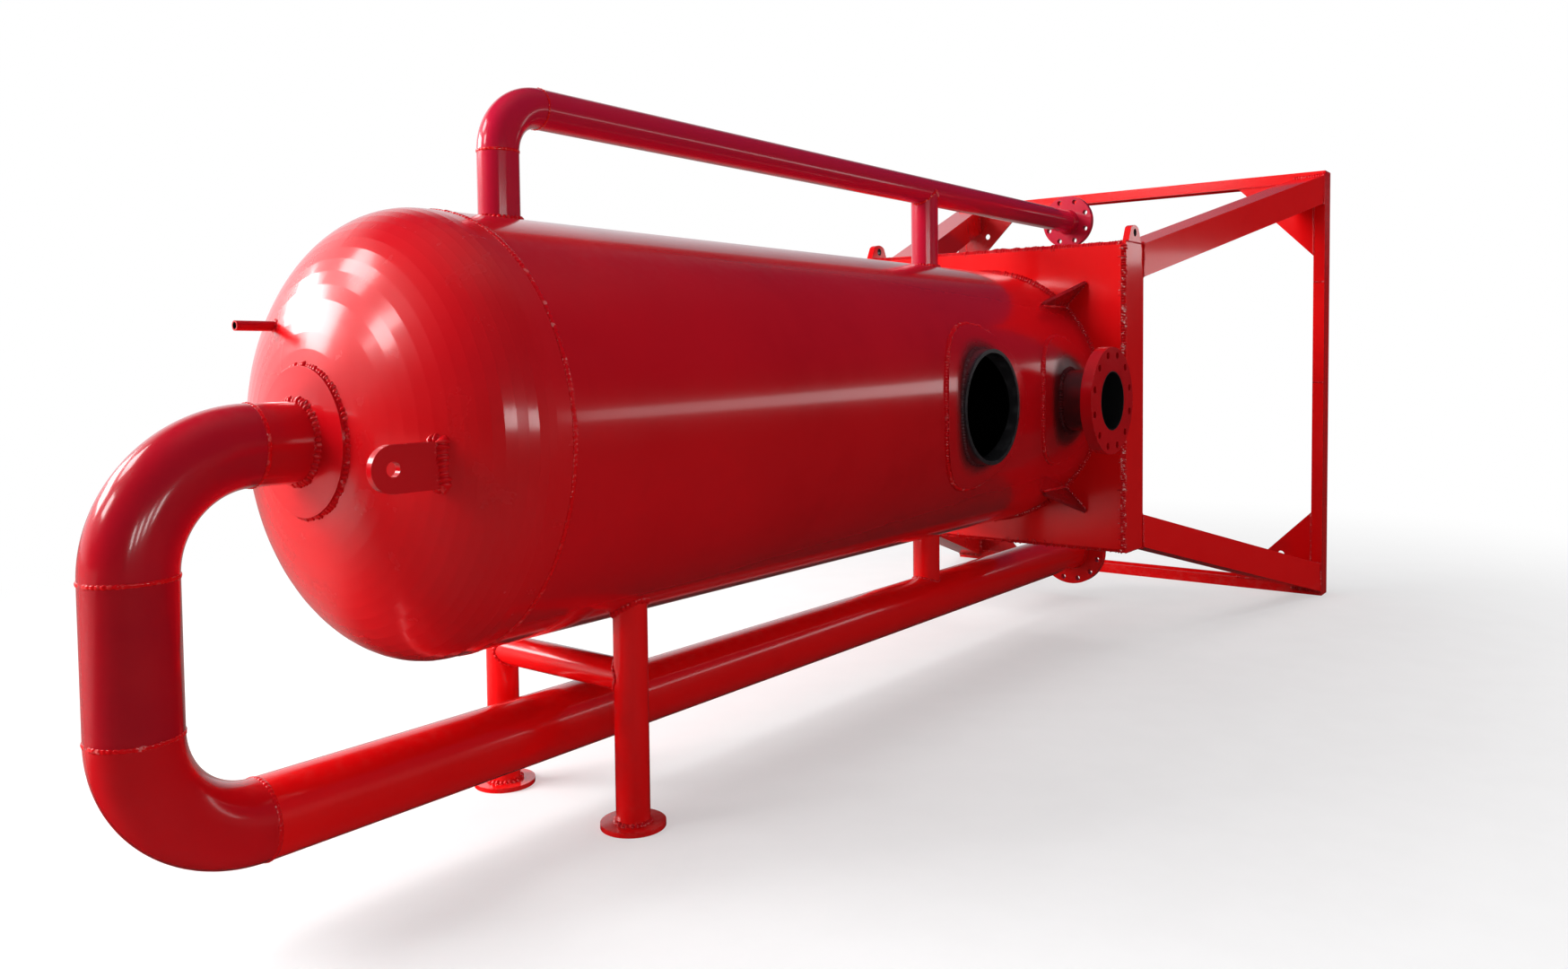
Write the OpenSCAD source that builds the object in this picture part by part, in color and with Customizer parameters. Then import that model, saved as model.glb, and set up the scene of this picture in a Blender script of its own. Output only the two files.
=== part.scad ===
// Mud gas separator lying on its two transport legs and the edge of its base frame.
// The vessel axis runs along X, the dished head at -X and the base frame at +X.
// Modules are drawn with X = 0 on the front face of the deck plate and Z = 0 on the vessel axis.

/* [Vessel] */
// Outside diameter of the vessel
vessel_od = 1000; // [960:5:1030]
// Length of the shell from the deck plate to the head seam
shell_l = 2670; // [2600:10:2800]
// Wall of the shell and of the dished head
shell_t = 10; // [6:1:14]
// Depth of the dished part of the head
head_depth = 255; // [235:5:275]
// Straight rim of the head
head_rim = 45; // [25:5:60]

/* [Gas outlet line] */
// Outside diameter of the gas pipe
gas_od = 168; // [150:1:180]
// Wall of the gas pipe
gas_t = 7; // [5:0.5:10]
// Bend radius of the gas elbows
gas_bend_r = 229; // [215:1:245]
// Stub from the crown of the head to the first gas elbow
gas_stub_l = 106; // [80:1:130]
// Depth of the gas line below the underside of the shell
gas_gap = 250; // [240:1:275]
// Straight run of the gas line from its elbow to the flange face
gas_run_l = 3976; // [3850:2:4100]
// Reinforcing pad round the gas stub
gas_pad_od = 313; // [290:1:335]
// Thickness of all reinforcing pads
pad_t = 10; // [6:1:14]
// Gas flange outside diameter
gas_flange_od = 318; // [312:1:324]
// Gas flange thickness
gas_flange_t = 37; // [28:1:42]
// Gas flange bolt circle
gas_pcd = 270; // [266:1:274]
// Bolts in the gas flange and in the mud outlet flange
large_bolts = 12; // [8:4:12]
// Gas flange bolt hole
gas_hole_d = 22; // [16:1:24]

/* [Inlet line] */
// Outside diameter of the inlet pipe and of the pipe stays
inlet_od = 100; // [90:1:106]
// Wall of the inlet pipe
inlet_t = 6; // [4:0.5:8]
// Bend radius of the inlet elbow
inlet_bend_r = 120; // [110:1:130]
// Height of the inlet line above the top of the shell
inlet_gap = 280; // [265:1:290]
// Distance of the inlet riser from the head seam
inlet_back = 224; // [190:2:260]
// Straight run of the inlet line from its elbow to the flange face
inlet_run_l = 3176; // [3050:2:3300]
// Inlet flange outside diameter
inlet_flange_od = 235; // [228:1:240]
// Inlet flange thickness
inlet_flange_t = 27; // [20:1:32]
// Inlet flange bolt circle
inlet_pcd = 190; // [186:1:194]
// Bolts in the inlet flange
inlet_bolts = 8; // [4:4:8]
// Inlet flange bolt hole
inlet_hole_d = 22; // [16:1:24]
// Distance of both pipe stays from the deck plate
stay_x = 462; // [430:1:500]

/* [Manway] */
// Distance of the manway from the deck plate
manway_x = 924; // [890:1:960]
// Clear bore of the manway
manway_d = 345; // [320:1:360]
// Wall of the manway neck
manway_t = 12; // [8:1:16]
// How far the manway neck stands out from the shell
manway_out = 22; // [16:1:40]
// Reinforcing pad round the manway
manway_pad_od = 530; // [500:1:560]

/* [Mud outlet] */
// Distance of the mud outlet from the deck plate
outlet_x = 285; // [270:1:300]
// Outside diameter of the mud outlet neck
outlet_od = 219; // [205:1:230]
// Wall of the mud outlet neck
outlet_t = 8; // [6:0.5:10]
// Distance of the mud outlet flange face from the side of the shell
outlet_out = 160; // [145:1:200]
// Reinforcing pad round the mud outlet
outlet_pad_od = 460; // [430:1:480]
// Mud outlet flange outside diameter
outlet_flange_od = 381; // [374:1:388]
// Mud outlet flange thickness
outlet_flange_t = 41; // [32:1:46]
// Mud outlet bolt circle
outlet_pcd = 330; // [324:1:336]
// Mud outlet bolt hole
outlet_hole_d = 25; // [18:1:28]

/* [Head fittings] */
// Outside diameter of the small nipple on the head
nipple_od = 22; // [18:1:28]
// Bore of the small nipple
nipple_bore = 15; // [10:1:16]
// Distance of the nipple from the far side of the vessel
nipple_side = 328; // [315:1:335]
// Depth of the nipple below the top of the vessel
nipple_top = 258; // [250:1:270]
// How far the nipple reaches past the head crown
nipple_out = 38; // [20:1:60]
// Distance of the outer face of each head lug from the side of the vessel
head_lug_in = 135; // [120:1:150]
// Depth of the head lugs below the vessel axis
head_lug_drop = 36; // [20:1:40]
// Width of a head lug
head_lug_w = 92; // [84:1:100]
// Thickness of a head lug
head_lug_t = 16; // [12:1:20]
// How far the head lugs reach past the head crown
head_lug_out = 70; // [60:1:85]
// Hole in a head lug
head_lug_hole = 30; // [24:1:36]

/* [Deck] */
// Least distance of the outside of the square deck from the shell
deck_edge = 92; // [80:1:100]
// Inset of the deck plate from the outside of its channels
plate_inset = 14; // [8:1:20]
// Thickness of the deck plate
deck_t = 16; // [10:1:20]
// Depth of the channels behind the deck plate
deck_channel_h = 180; // [160:2:200]
// Flange width of the deck channels
deck_channel_b = 70; // [60:1:80]
// Web and flange thickness of the deck channels
deck_channel_t = 9; // [6:1:11]
// Length of a rib along the shell
rib_l = 200; // [160:2:220]
// Height of a rib on the deck plate
rib_h = 125; // [100:1:150]
// Thickness of a rib
rib_t = 12; // [8:1:16]
// Height of a rib at its ends
rib_toe = 12; // [8:1:20]
// Width of a deck lug at its foot
deck_lug_w = 130; // [110:1:150]
// Height of a deck lug
deck_lug_h = 66; // [58:1:72]
// Thickness of a deck lug
deck_lug_t = 25; // [16:1:30]
// Hole in a deck lug
deck_lug_hole = 30; // [22:1:34]
// Height of that hole above the foot of the lug
deck_lug_eye = 37; // [33:1:40]

/* [Splayed legs and base frame] */
// Side of the square tube of the splayed legs
leg_w = 125; // [110:1:140]
// Wall of the splayed legs
leg_t = 8; // [5:0.5:10]
// Height of the leg ends inside the edge of the base frame
leg_inset = 20; // [10:1:30]
// Width of the base frame across the vessel
base_w = 1904; // [1880:2:1940]
// Height of the base frame
base_h = 1970; // [1940:2:2000]
// Height of the middle of the base frame above the vessel axis
base_rise = 15; // [0:1:25]
// Distance of the base frame from the deck plate to its ground face
base_x = 1624; // [1580:1:1660]
// Depth of the base frame channels
base_channel_h = 100; // [80:1:120]
// Flange width of the base frame channels
base_channel_b = 48; // [40:1:56]
// Web and flange thickness of the base frame channels
base_channel_t = 7; // [5:0.5:9]
// Length of the two square edges of a corner gusset
gusset_w = 340; // [320:1:360]
// Thickness of a corner gusset
gusset_t = 10; // [6:1:14]
// Hole in a corner gusset
gusset_hole = 30; // [20:1:36]
// Distance of that hole from both square edges
gusset_eye = 132; // [126:1:140]

/* [Transport legs] */
// Outside diameter of the transport legs
prop_od = 84; // [80:1:90]
// Outside diameter of the pipe between the transport legs
prop_tie_od = 78; // [70:1:79]
// Wall of the transport legs and of the pipe between them
prop_t = 6; // [4:0.5:8]
// Distance of the transport legs from the deck plate
prop_x = 2272; // [2230:1:2310]
// Sideways place of each transport leg
prop_y = 242; // [230:1:260]
// Depth of that pipe below the underside of the shell
prop_tie_gap = 104; // [90:1:112]
// Diameter of a foot plate
foot_od = 160; // [140:1:180]
// Thickness of a foot plate
foot_t = 12; // [8:1:16]

/* [Hidden] */
vessel_r = vessel_od / 2;
inner_r = vessel_r - shell_t;
gas_drop = vessel_r + gas_gap;
inlet_rise = vessel_r + inlet_gap;
outlet_reach = vessel_r + outlet_out;
nipple_y = vessel_r - nipple_side;
nipple_z = vessel_r - nipple_top;
head_lug_y = vessel_r - head_lug_in;
prop_tie_drop = vessel_r + prop_tie_gap;
seam_x = -shell_l;
rim_x = seam_x - head_rim;
crown_x = rim_x - head_depth;
gas_turn_x = crown_x - gas_stub_l;
drop_x = gas_turn_x - gas_bend_r;
gas_end_x = gas_turn_x + gas_run_l;
riser_x = seam_x + inlet_back;
inlet_turn_x = riser_x + inlet_bend_r;
inlet_end_x = inlet_turn_x + inlet_run_l;
deck_back = deck_t + deck_channel_h;
base_front = base_x - base_channel_h;
base_half_w = base_w / 2;
base_half_h = base_h / 2;
axis_h = base_half_h - base_rise;
low_x = drop_x - gas_od / 2;
mid_x = (low_x + base_x) / 2;
deck_w = vessel_od + 2 * deck_edge;
deck_half = deck_w / 2;
leg_run = base_front - deck_back;
leg_side = base_half_w - deck_half;
leg_up = base_half_h + base_rise - leg_inset - deck_half;
leg_down = base_half_h - base_rise - leg_inset - deck_half;
hub_l = 28;
hub_t = 6;
past = 60;
head_steps = 20;
paint = [0.74, 0.05, 0.07];
big_fn = 128;
pipe_fn = 72;
small_fn = 40;

// Moves a piece from the vessel frame to the ground frame.
module placed() {
    color(paint) translate([-mid_x, 0, axis_h]) children();
}

// Round bar along +X from the origin.
module bar_x(d, l, fn) {
    rotate([0, 90, 0]) cylinder(d = d, h = l, $fn = fn);
}

// Pipe along +X from the origin.
module pipe_x(od, t, l) {
    difference() {
        bar_x(od, l, pipe_fn);
        translate([-1, 0, 0]) bar_x(od - 2 * t, l + 2, pipe_fn);
    }
}

// Pipe along +Z from the origin.
module pipe_z(od, t, l) {
    difference() {
        cylinder(d = od, h = l, $fn = pipe_fn);
        translate([0, 0, -1]) cylinder(d = od - 2 * t, h = l + 2, $fn = pipe_fn);
    }
}

// Quarter bend about Z, from the X axis round to the Y axis.
module bend(od, t, r) {
    rotate_extrude(angle = 90, $fn = 96) translate([r, 0]) difference() {
        circle(d = od, $fn = pipe_fn);
        circle(d = od - 2 * t, $fn = pipe_fn);
    }
}

// Welding neck flange with its face at the origin and its hub towards -X.
module neck_flange(od, t, pipe_od, pipe_t, pcd, bolts, hole_d) {
    difference() {
        union() {
            translate([-t, 0, 0]) bar_x(od, t, pipe_fn);
            translate([-t - hub_l, 0, 0]) rotate([0, 90, 0])
                cylinder(d1 = pipe_od, d2 = pipe_od + 2 * hub_t, h = hub_l, $fn = pipe_fn);
        }
        translate([-t - hub_l - 1, 0, 0]) bar_x(pipe_od - 2 * pipe_t, t + hub_l + 2, pipe_fn);
        for (i = [0 : bolts - 1]) {
            rotate([(i + 0.5) * 360 / bolts, 0, 0]) translate([-t - 1, 0, pcd / 2])
                bar_x(hole_d, t + 2, small_fn);
        }
    }
}

// Solid cylinder of radius r over the length of the shell.
module shell_form(r) {
    translate([seam_x, 0, 0]) bar_x(2 * r, shell_l, big_fn);
}

// Solid dished head of radius r and depth d on the head rim.
module head_form(r, d) {
    turns = [for (i = [0 : head_steps]) 90 * i / head_steps];
    outline = [for (a = turns) [r * cos(a), d * sin(a)]];
    translate([rim_x, 0, 0]) rotate([0, -90, 0]) rotate_extrude($fn = big_fn)
        polygon(concat([[0, -head_rim], [r, -head_rim]], outline));
}

// One channel of a mitred ring, of length l, its web outwards at height out.
module ring_side(x, l, out, h, b, t) {
    translate([x, 0, out]) intersection() {
        difference() {
            translate([0, -l / 2, -b]) cube([h, l, b]);
            translate([t, -l, -b - 1]) cube([h - 2 * t, 2 * l, b - t + 1]);
        }
        rotate([90, 0, 90]) translate([0, 0, -1]) linear_extrude(h + 2)
            polygon([[-l / 2, 0], [l / 2, 0], [l / 2 - b, -b], [b - l / 2, -b]]);
    }
}

// Vessel shell with its openings.
module shell() {
    placed() difference() {
        shell_form(vessel_r);
        translate([seam_x - 1, 0, 0]) bar_x(2 * inner_r, shell_l + 2, big_fn);
        translate([riser_x, 0, 0])
            cylinder(d = inlet_od - 2 * inlet_t, h = vessel_r + 1, $fn = pipe_fn);
        translate([-manway_x, 0, 0]) rotate([90, 0, 0])
            cylinder(d = manway_d + 2 * manway_t, h = vessel_r + 1, $fn = big_fn);
        translate([-outlet_x, 0, 0]) rotate([90, 0, 0])
            cylinder(d = outlet_od - 2 * outlet_t, h = vessel_r + 1, $fn = pipe_fn);
    }
}

// Dished head with the gas opening and the nipple opening.
module head() {
    placed() difference() {
        head_form(vessel_r, head_depth);
        head_form(inner_r, head_depth - shell_t);
        translate([crown_x - past, 0, 0]) bar_x(gas_od - 2 * gas_t, head_depth, pipe_fn);
        translate([crown_x - past, nipple_y, nipple_z]) bar_x(nipple_bore, head_depth, small_fn);
    }
}

// Reinforcing pad on the crown of the head.
module gas_pad() {
    placed() difference() {
        intersection() {
            head_form(vessel_r + pad_t, head_depth + pad_t);
            translate([crown_x - 2 * pad_t, 0, 0]) bar_x(gas_pad_od, head_depth, pipe_fn);
        }
        head_form(vessel_r, head_depth);
        translate([crown_x - 3 * pad_t, 0, 0]) bar_x(gas_od, head_depth, pipe_fn);
    }
}

// Gas stub from the head to the first elbow.
module gas_stub() {
    placed() difference() {
        translate([gas_turn_x, 0, 0]) pipe_x(gas_od, gas_t, gas_stub_l + past);
        head_form(vessel_r, head_depth);
    }
}

// First gas elbow, from the stub down.
module gas_elbow_upper() {
    placed() translate([gas_turn_x, 0, -gas_bend_r]) rotate([90, 0, 0]) rotate([0, 0, 90])
        bend(gas_od, gas_t, gas_bend_r);
}

// Straight drop pipe at the head end.
module gas_drop_pipe() {
    placed() translate([drop_x, 0, -gas_drop + gas_bend_r])
        pipe_z(gas_od, gas_t, gas_drop - 2 * gas_bend_r);
}

// Second gas elbow, from the drop pipe to the line under the vessel.
module gas_elbow_lower() {
    placed() translate([gas_turn_x, 0, gas_bend_r - gas_drop]) rotate([90, 0, 0]) rotate([0, 0, 180])
        bend(gas_od, gas_t, gas_bend_r);
}

// Gas line under the vessel.
module gas_line() {
    placed() translate([gas_turn_x, 0, -gas_drop])
        pipe_x(gas_od, gas_t, gas_run_l - gas_flange_t - hub_l);
}

// Gas flange at the base frame end.
module gas_flange() {
    placed() translate([gas_end_x, 0, -gas_drop])
        neck_flange(gas_flange_od, gas_flange_t, gas_od, gas_t, gas_pcd, large_bolts, gas_hole_d);
}

// Stay between the shell and the gas line.
module gas_stay() {
    placed() difference() {
        translate([-stay_x, 0, -gas_drop]) pipe_z(inlet_od, inlet_t, gas_drop);
        shell_form(vessel_r);
        translate([-stay_x - inlet_od, 0, -gas_drop]) bar_x(gas_od, 2 * inlet_od, pipe_fn);
    }
}

// Inlet riser on top of the shell.
module inlet_riser() {
    placed() difference() {
        translate([riser_x, 0, 0]) pipe_z(inlet_od, inlet_t, inlet_rise - inlet_bend_r);
        shell_form(vessel_r);
    }
}

// Inlet elbow from the riser to the line.
module inlet_elbow() {
    placed() translate([inlet_turn_x, 0, inlet_rise - inlet_bend_r]) rotate([90, 0, 0])
        rotate([0, 0, 90]) bend(inlet_od, inlet_t, inlet_bend_r);
}

// Inlet line over the vessel.
module inlet_line() {
    placed() translate([inlet_turn_x, 0, inlet_rise])
        pipe_x(inlet_od, inlet_t, inlet_run_l - inlet_flange_t - hub_l);
}

// Inlet flange at the base frame end.
module inlet_flange() {
    placed() translate([inlet_end_x, 0, inlet_rise])
        neck_flange(inlet_flange_od, inlet_flange_t, inlet_od, inlet_t,
            inlet_pcd, inlet_bolts, inlet_hole_d);
}

// Stay between the shell and the inlet line.
module inlet_stay() {
    placed() difference() {
        translate([-stay_x, 0, 0]) pipe_z(inlet_od, inlet_t, inlet_rise);
        shell_form(vessel_r);
        translate([-stay_x - inlet_od, 0, inlet_rise]) bar_x(inlet_od, 2 * inlet_od, pipe_fn);
    }
}

// Curved pad on the shell round an opening on the near side.
module side_pad(x, od, hole_d) {
    difference() {
        intersection() {
            shell_form(vessel_r + pad_t);
            translate([-x, 0, 0]) rotate([90, 0, 0]) cylinder(d = od, h = vessel_od, $fn = big_fn);
        }
        shell_form(vessel_r);
        translate([-x, 0, 0]) rotate([90, 0, 0]) cylinder(d = hole_d, h = vessel_od, $fn = big_fn);
    }
}

// Reinforcing pad of the manway.
module manway_pad() {
    placed() side_pad(manway_x, manway_pad_od, manway_d + 2 * manway_t);
}

// Manway neck set through the shell.
module manway_neck() {
    placed() difference() {
        translate([-manway_x, 0, 0]) rotate([90, 0, 0])
            cylinder(d = manway_d + 2 * manway_t, h = vessel_r + manway_out, $fn = big_fn);
        translate([-manway_x, 1, 0]) rotate([90, 0, 0])
            cylinder(d = manway_d, h = vessel_r + manway_out + 2, $fn = big_fn);
        translate([seam_x, 0, 0]) bar_x(2 * inner_r, shell_l, big_fn);
    }
}

// Reinforcing pad of the mud outlet.
module outlet_pad() {
    placed() side_pad(outlet_x, outlet_pad_od, outlet_od);
}

// Mud outlet neck on the near side of the shell.
module outlet_neck() {
    placed() difference() {
        translate([-outlet_x, 0, 0]) rotate([0, 0, -90])
            pipe_x(outlet_od, outlet_t, outlet_reach - outlet_flange_t - hub_l);
        shell_form(vessel_r);
    }
}

// Mud outlet flange.
module outlet_flange() {
    placed() translate([-outlet_x, -outlet_reach, 0]) rotate([0, 0, -90])
        neck_flange(outlet_flange_od, outlet_flange_t, outlet_od, outlet_t,
            outlet_pcd, large_bolts, outlet_hole_d);
}

// Small nipple on the head.
module head_nipple() {
    placed() difference() {
        translate([crown_x - nipple_out, nipple_y, nipple_z])
            bar_x(nipple_od, head_depth, small_fn);
        translate([crown_x - nipple_out - 1, nipple_y, nipple_z])
            bar_x(nipple_bore, head_depth + 2, small_fn);
        head_form(vessel_r, head_depth);
    }
}

// Lifting lug on the head, with a round end and a hole.
module head_lug() {
    difference() {
        translate([crown_x - head_lug_out + head_lug_w / 2, -head_lug_y, -head_lug_drop])
            rotate([-90, 0, 0]) linear_extrude(head_lug_t) difference() {
                union() {
                    circle(d = head_lug_w, $fn = pipe_fn);
                    translate([0, -head_lug_w / 2]) square([head_depth + head_rim, head_lug_w]);
                }
                circle(d = head_lug_hole, $fn = small_fn);
            }
        head_form(vessel_r, head_depth);
    }
}

// Lifting lug on the near side of the head.
module head_lug_near() {
    placed() head_lug();
}

// Lifting lug on the far side of the head.
module head_lug_far() {
    placed() mirror([0, 1, 0]) head_lug();
}

// Square deck plate that closes the vessel.
module deck_plate() {
    plate_w = deck_w - 2 * plate_inset;
    placed() translate([0, -plate_w / 2, -plate_w / 2]) cube([deck_t, plate_w, plate_w]);
}

// One side of the channel ring behind the deck plate, turned about the vessel axis.
module deck_channel(turn) {
    placed() rotate([turn, 0, 0])
        ring_side(deck_t, deck_w, deck_half, deck_channel_h, deck_channel_b, deck_channel_t);
}

module deck_channel_top() {
    deck_channel(0);
}

module deck_channel_bottom() {
    deck_channel(180);
}

module deck_channel_near() {
    deck_channel(90);
}

module deck_channel_far() {
    deck_channel(270);
}

// Four ribs between the shell and the deck plate.
module deck_ribs() {
    placed() difference() {
        for (i = [0 : 3]) {
            rotate([45 + i * 90, 0, 0]) rotate([90, 0, 0]) translate([0, 0, -rib_t / 2])
                linear_extrude(rib_t) polygon([[-rib_l, 0], [-rib_l, vessel_r + rib_toe],
                    [-rib_toe, vessel_r + rib_h], [0, vessel_r + rib_h], [0, 0]]);
        }
        shell_form(vessel_r);
    }
}

// Two lifting lugs on the top edge of the deck.
module deck_lugs() {
    placed() for (s = [0, 1]) {
        mirror([0, s, 0]) translate([deck_t + deck_channel_h / 2, -deck_half, deck_half])
            rotate([90, 0, 0]) mirror([0, 0, 1]) linear_extrude(deck_lug_t) difference() {
                intersection() {
                    polygon([[-deck_lug_w / 2, 0], [deck_lug_w / 2, 0], [deck_lug_w / 4, deck_lug_h],
                        [-deck_lug_w / 4, deck_lug_h]]);
                    translate([0, deck_lug_h - deck_lug_w / 2]) circle(d = deck_lug_w, $fn = pipe_fn);
                }
                translate([0, deck_lug_eye]) circle(d = deck_lug_hole, $fn = small_fn);
            }
    }
}

// Square tube along +X with its outer upper edge on the X axis.
module leg_tube(l) {
    bore = leg_w - 2 * leg_t;
    difference() {
        translate([0, 0, -leg_w]) cube([l, leg_w, leg_w]);
        translate([-1, leg_t, leg_t - leg_w]) cube([l + 2, bore, bore]);
    }
}

// One splayed leg from a deck corner to a base frame corner, cut square to the vessel at both ends.
module splayed_leg(far, low, rise) {
    angle = atan2(norm([leg_side, rise]), leg_run);
    placed() mirror([0, far, 0]) mirror([0, 0, low]) intersection() {
        translate([deck_back, -deck_half, deck_half]) rotate(a = -angle, v = [0, rise, leg_side])
            translate([-leg_w, 0, 0]) leg_tube(2 * leg_run);
        translate([deck_back, -base_w, 0]) cube([leg_run, base_w, base_h]);
    }
}

module leg_near_upper() {
    splayed_leg(0, 0, leg_up);
}

module leg_near_lower() {
    splayed_leg(0, 1, leg_down);
}

module leg_far_upper() {
    splayed_leg(1, 0, leg_up);
}

module leg_far_lower() {
    splayed_leg(1, 1, leg_down);
}

// One channel of the base frame, turned about the middle of the frame.
module base_channel(turn, l, out) {
    placed() translate([0, 0, base_rise]) rotate([turn, 0, 0])
        ring_side(base_front, l, out, base_channel_h, base_channel_b, base_channel_t);
}

module base_channel_top() {
    base_channel(0, base_w, base_half_h);
}

module base_channel_bottom() {
    base_channel(180, base_w, base_half_h);
}

module base_channel_near() {
    base_channel(90, base_h, base_half_w);
}

module base_channel_far() {
    base_channel(270, base_h, base_half_w);
}

// Corner gusset at the origin, its square edges towards -Y and -Z.
module gusset() {
    rotate([90, 0, 90]) linear_extrude(gusset_t) difference() {
        polygon([[0, 0], [-gusset_w, 0], [0, -gusset_w]]);
        translate([-gusset_eye, -gusset_eye]) circle(d = gusset_hole, $fn = small_fn);
    }
}

// Four corner gussets inside the base frame, flush with its front.
module base_gussets() {
    placed() translate([base_front, 0, base_rise]) for (far = [0, 1], low = [0, 1]) {
        mirror([0, 1 - far, 0]) mirror([0, 0, low])
            translate([0, base_half_w - base_channel_b, base_half_h - base_channel_b]) gusset();
    }
}

// Transport leg under the shell.
module prop() {
    difference() {
        translate([-prop_x, -prop_y, foot_t - axis_h]) pipe_z(prop_od, prop_t, axis_h - foot_t);
        shell_form(vessel_r);
    }
}

module prop_near() {
    placed() prop();
}

module prop_far() {
    placed() mirror([0, 1, 0]) prop();
}

// Pipe between the transport legs.
module prop_tie() {
    placed() difference() {
        translate([-prop_x, -prop_y, -prop_tie_drop]) rotate([0, 0, 90])
            pipe_x(prop_tie_od, prop_t, 2 * prop_y);
        for (s = [-1, 1]) {
            translate([-prop_x, s * prop_y, -axis_h]) cylinder(d = prop_od, h = axis_h, $fn = pipe_fn);
        }
    }
}

// Round foot plate of a transport leg.
module foot() {
    translate([-prop_x, -prop_y, -axis_h]) cylinder(d = foot_od, h = foot_t, $fn = pipe_fn);
}

module foot_near() {
    placed() foot();
}

module foot_far() {
    placed() mirror([0, 1, 0]) foot();
}

shell();
head();
gas_pad();
gas_stub();
gas_elbow_upper();
gas_drop_pipe();
gas_elbow_lower();
gas_line();
gas_flange();
gas_stay();
inlet_riser();
inlet_elbow();
inlet_line();
inlet_flange();
inlet_stay();
manway_pad();
manway_neck();
outlet_pad();
outlet_neck();
outlet_flange();
head_nipple();
head_lug_near();
head_lug_far();
deck_plate();
deck_channel_top();
deck_channel_bottom();
deck_channel_near();
deck_channel_far();
deck_ribs();
deck_lugs();
leg_near_upper();
leg_near_lower();
leg_far_upper();
leg_far_lower();
base_channel_top();
base_channel_bottom();
base_channel_near();
base_channel_far();
base_gussets();
prop_near();
prop_far();
prop_tie();
foot_near();
foot_far();
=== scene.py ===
"""Looks of a mud gas separator lying on its transport legs: enamel, weld beads, light and camera."""
import math

import bpy
import numpy as np
from mathutils import Matrix, Vector


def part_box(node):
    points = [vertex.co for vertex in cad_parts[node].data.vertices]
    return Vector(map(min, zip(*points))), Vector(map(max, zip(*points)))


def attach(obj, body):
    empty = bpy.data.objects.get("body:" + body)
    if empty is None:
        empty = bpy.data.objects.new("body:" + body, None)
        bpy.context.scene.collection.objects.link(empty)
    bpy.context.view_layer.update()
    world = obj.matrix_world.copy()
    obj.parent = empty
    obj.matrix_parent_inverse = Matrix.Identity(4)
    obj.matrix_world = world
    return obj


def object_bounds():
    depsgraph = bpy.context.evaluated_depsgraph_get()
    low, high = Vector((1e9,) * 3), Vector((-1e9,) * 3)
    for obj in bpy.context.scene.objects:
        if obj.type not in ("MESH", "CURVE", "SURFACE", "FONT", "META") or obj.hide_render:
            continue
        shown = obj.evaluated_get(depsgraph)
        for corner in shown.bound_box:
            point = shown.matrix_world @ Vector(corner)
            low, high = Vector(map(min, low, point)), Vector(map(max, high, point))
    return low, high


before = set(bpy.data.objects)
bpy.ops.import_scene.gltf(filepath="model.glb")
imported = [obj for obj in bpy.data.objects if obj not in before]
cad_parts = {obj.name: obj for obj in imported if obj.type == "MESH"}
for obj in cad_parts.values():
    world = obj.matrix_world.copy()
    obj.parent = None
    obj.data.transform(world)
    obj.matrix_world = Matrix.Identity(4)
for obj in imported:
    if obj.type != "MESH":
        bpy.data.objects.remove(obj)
CAD_LOW, CAD_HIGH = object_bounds()

# Axes: X along the vessel to its base, Y to the far side, Z up
X, Y, Z = range(3)

# Sizes of the vessel, taken from the frame, in metres
SHELL_LOW, SHELL_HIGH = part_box("shell")
VESSEL_R = (SHELL_HIGH.z - SHELL_LOW.z) / 2
AXIS_Z = (SHELL_HIGH.z + SHELL_LOW.z) / 2
SEAM_X = SHELL_LOW.x
DECK_X = SHELL_HIGH.x
HEAD_RIM = 0.045
RIM_X = SEAM_X - HEAD_RIM
HEAD_DEPTH = RIM_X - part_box("head")[0].x
PAD_T = -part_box("manway_pad")[0].y - VESSEL_R

# Walls, plates and bores
VESSEL_WALL = 0.010
GAS_WALL = 0.007
INLET_WALL = 0.006
OUTLET_WALL = 0.008
RIB_T = 0.012
LUG_T = 0.025
LUG_EYE_UP = 0.037
LUG_EYE_R = 0.0155
NIPPLE_BORE_R = 0.0078

# Camera of the photograph, fitted to the frame
PHOTO_W, PHOTO_H = 1748, 1080
CAMERA_AT = Vector((-3.3505, -2.2243, 1.1294))
CAMERA_FORWARD = Vector((0.79224, 0.60871, -0.04265))
CAMERA_UP = Vector((0.04018, 0.01772, 0.99904))
FOCAL_PX = 1285.88
HORIZON_PX = 455.16
SENSOR_MM = 36.0

# Colours of the finishes, linear
RED_DEEP = (0.42, 0.0014, 0.0042, 1.0)
RED_MID = (0.50, 0.0020, 0.0055, 1.0)
RED_BRIGHT = (0.56, 0.0032, 0.0070, 1.0)
# Brighter red of painted light, standing in for more light on the deck, the base, what lies low and the
# head
RED_PAINTED_LIGHT = (0.75, 0.0028, 0.0034, 1.0)
RED_COOL = (0.46, 0.0070, 0.0360, 1.0)
RED_WINE = (0.40, 0.0034, 0.0130, 1.0)
RED_DARK = (0.325, 0.0024, 0.0100, 1.0)
# Dark red of painted shadow round the mud outlet and painted shade on the ribs and the far frame; also the
# darker ring round the manway
DARKENED_RED = (0.060, 0.0080, 0.0090, 1.0)
PRIMER = (0.30, 0.110, 0.085, 1.0)
# Pale pink of painted glints on the welds
PAINTED_GLINT = (0.84, 0.53, 0.50, 1.0)
DUST = (0.46, 0.330, 0.290, 1.0)
INSIDE_DARK = (0.0075, 0.0085, 0.0090, 1.0)
NECK_DARK_RED = (0.100, 0.0105, 0.0130, 1.0)
RIM_BLACK = (0.016, 0.016, 0.018, 1.0)
RIM_GREY = (0.060, 0.062, 0.066, 1.0)

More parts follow.
